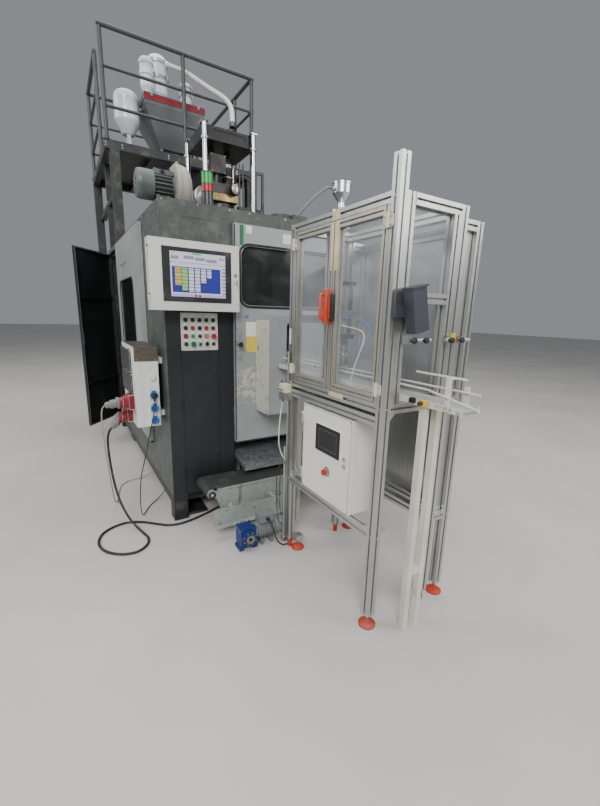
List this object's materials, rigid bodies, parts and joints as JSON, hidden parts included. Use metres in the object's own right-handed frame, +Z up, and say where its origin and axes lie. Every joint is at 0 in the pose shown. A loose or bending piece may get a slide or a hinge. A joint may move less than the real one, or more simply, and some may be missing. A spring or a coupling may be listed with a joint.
{
  "type": "extrusion blow moulding machine",
  "caption": "Blow moulding machine: cabinet with sliding guards, extruder head above, leak-test station and conveyors in front, service platform with hopper behind.",
  "frame": {"origin": "on the floor, at the centre of the four anchor holes of the foot plates", "axes": "+Z up; the operator stands at -Y and looks along +Y; the terminal is on the left, at -X"},
  "size_m": [2.3079, 5.455, 4.2063],
  "materials": {
    "frame_black": "satin",
    "mottled_grey": "satin, mottled",
    "column_black": "satin",
    "light_grey": "satin",
    "screen_black": "matte",
    "button_black": "glossy",
    "stop_red": "glossy",
    "start_green": "glossy",
    "guard_grey": "satin",
    "dark_pane": "clear, dark",
    "clear_pane": "clear",
    "machine_grey": "satin",
    "mould_metal": "milled",
    "pin_steel": "ground",
    "head_steel": "dull",
    "barrel_cover": "dull",
    "drive_grey": "satin",
    "bridge_black": "satin",
    "column_chrome": "polished",
    "platform_dark": "satin",
    "rail_grey": "satin",
    "hopper_grey": "satin",
    "loader_white": "glossy",
    "hose_white": "smooth",
    "hose_grey": "matte",
    "blower_beige": "painted",
    "motor_green": "painted",
    "tower_grey": "smooth",
    "funnel_metal": "satin",
    "galvanised": "galvanised",
    "conveyor_green": "satin",
    "belt_black": "matte",
    "gear_blue": "painted",
    "motor_silver": "painted",
    "socket_white": "smooth",
    "plug_red": "smooth",
    "cord_black": "matte",
    "slotted_aluminium": "anodised",
    "feet_red": "smooth",
    "cream_box": "satin",
    "slate_box": "satin",
    "outfeed_cream": "satin",
    "outfeed_links": "matte"
  },
  "bodies": {
    "machine": {"base_frame": "frame_black", "cabinet_shell": "mottled_grey", "front_column": "column_black", "roof_plate": "mottled_grey", "hmi_housing": "light_grey", "button_plate": "light_grey", "push_buttons": "button_black", "clamp_frame": "machine_grey", "die_head": "head_steel", "extruder": "barrel_cover", "extruder_drive": "drive_grey", "head_bridge": "bridge_black", "lift_columns": "column_chrome", "service_platform": "platform_dark", "handrail": "rail_grey", "dosing_hopper": "hopper_grey", "vacuum_loaders": "loader_white", "material_hose": "hose_white", "blower_housing": "blower_beige", "blower_motor": "motor_green", "signal_tower": "tower_grey", "receiver_funnel": "funnel_metal", "receiver_hose": "hose_grey", "flash_chute": "galvanised", "scrap_conveyor": "conveyor_green", "scrap_belt": "belt_black", "drive_gearbox": "gear_blue", "drive_motor": "motor_silver", "socket_box": "socket_white", "power_plugs": "plug_red", "floor_cord": "cord_black", "test_frame": "slotted_aluminium", "level_feet": "feet_red", "frame_panes": "clear_pane", "control_box": "cream_box", "test_fixture": "machine_grey", "sensor_box": "slate_box", "outfeed_conveyor": "outfeed_cream", "outfeed_belt": "outfeed_links"},
    "hmi_door": {"hmi_door": "light_grey", "hmi_screen": "screen_black"},
    "guard_door": {"guard_door": "guard_grey", "guard_window": "dark_pane"},
    "side_guard": {"side_guard": "guard_grey", "side_window": "dark_pane"},
    "rear_door": {"rear_door": "column_black"},
    "clamp_carriage": {"clamp_carriage": "machine_grey"},
    "mould_left": {"mould_left": "mould_metal"},
    "mould_right": {"mould_right": "mould_metal"},
    "blow_pin": {"blow_pin": "pin_steel"},
    "emergency_stop": {"emergency_stop": "stop_red"},
    "start_button": {"start_button": "start_green"},
    "selector_switch": {"selector_switch": "screen_black"},
    "test_door_far": {"test_door_far": "slotted_aluminium", "door_pane_far": "clear_pane"},
    "test_door_near": {"test_door_near": "slotted_aluminium", "door_pane_near": "clear_pane"},
    "control_door": {"control_door": "cream_box"},
    "control_stop": {"control_stop": "stop_red"},
    "test_head": {"test_head": "bridge_black"}
  },
  "joints": [
    {"name": "hmi_door_hinge", "type": "hinge", "parent": "machine", "child": "hmi_door", "pos_m": [-1.009, -1.2623, 1.7], "axis": [0, 0, 1], "range_deg": [-110, 0]},
    {"name": "guard_door_slide", "type": "slide", "parent": "machine", "child": "guard_door", "axis": [1, 0, 0], "range_m": [0, 0.4]},
    {"name": "side_guard_slide", "type": "slide", "parent": "machine", "child": "side_guard", "axis": [0, 1, 0], "range_m": [0, 0.4]},
    {"name": "rear_door_hinge", "type": "hinge", "parent": "machine", "child": "rear_door", "pos_m": [-0.906, 1.56, 1.2], "axis": [0, 0, 1], "range_deg": [-60, 38]},
    {"name": "clamp_carriage_slide", "type": "slide", "parent": "machine", "child": "clamp_carriage", "axis": [0, -1, 0], "range_m": [0, 0.45]},
    {"name": "mould_left_slide", "type": "slide", "parent": "clamp_carriage", "child": "mould_left", "axis": [-1, 0, 0], "range_m": [0, 0.15]},
    {"name": "mould_right_slide", "type": "slide", "parent": "clamp_carriage", "child": "mould_right", "axis": [1, 0, 0], "range_m": [0, 0.15]},
    {"name": "blow_pin_slide", "type": "slide", "parent": "machine", "child": "blow_pin", "axis": [0, 0, -1], "range_m": [0, 0.09]},
    {"name": "emergency_stop_slide", "type": "slide", "parent": "machine", "child": "emergency_stop", "axis": [0, 1, 0], "range_m": [0, 0.004], "stiffness_N_per_m": 800},
    {"name": "start_button_slide", "type": "slide", "parent": "machine", "child": "start_button", "axis": [0, 1, 0], "range_m": [0, 0.004], "stiffness_N_per_m": 800},
    {"name": "selector_switch_hinge", "type": "hinge", "parent": "machine", "child": "selector_switch", "pos_m": [-0.6252, -1.155, 1.28475], "axis": [0, 1, 0], "range_deg": [-45, 45]},
    {"name": "test_door_far_hinge", "type": "hinge", "parent": "machine", "child": "test_door_far", "pos_m": [-0.343, -1.836, 1.5], "axis": [0, 0, 1], "range_deg": [-110, 0]},
    {"name": "test_door_near_hinge", "type": "hinge", "parent": "machine", "child": "test_door_near", "pos_m": [-0.343, -2.564, 1.5], "axis": [0, 0, 1], "range_deg": [0, 110]},
    {"name": "control_door_hinge", "type": "hinge", "parent": "machine", "child": "control_door", "pos_m": [-0.341, -1.974, 0.8], "axis": [0, 0, 1], "range_deg": [-110, 0]},
    {"name": "control_stop_slide", "type": "slide", "parent": "control_door", "child": "control_stop", "axis": [1, 0, 0], "range_m": [0, 0.004], "stiffness_N_per_m": 800},
    {"name": "test_head_slide", "type": "slide", "parent": "machine", "child": "test_head", "axis": [0, 0, -1], "range_m": [0, 0.12]}
  ],
  "couplings": [
    {"joint": "mould_right_slide", "follows": "mould_left_slide", "ratio": 1}
  ]
}
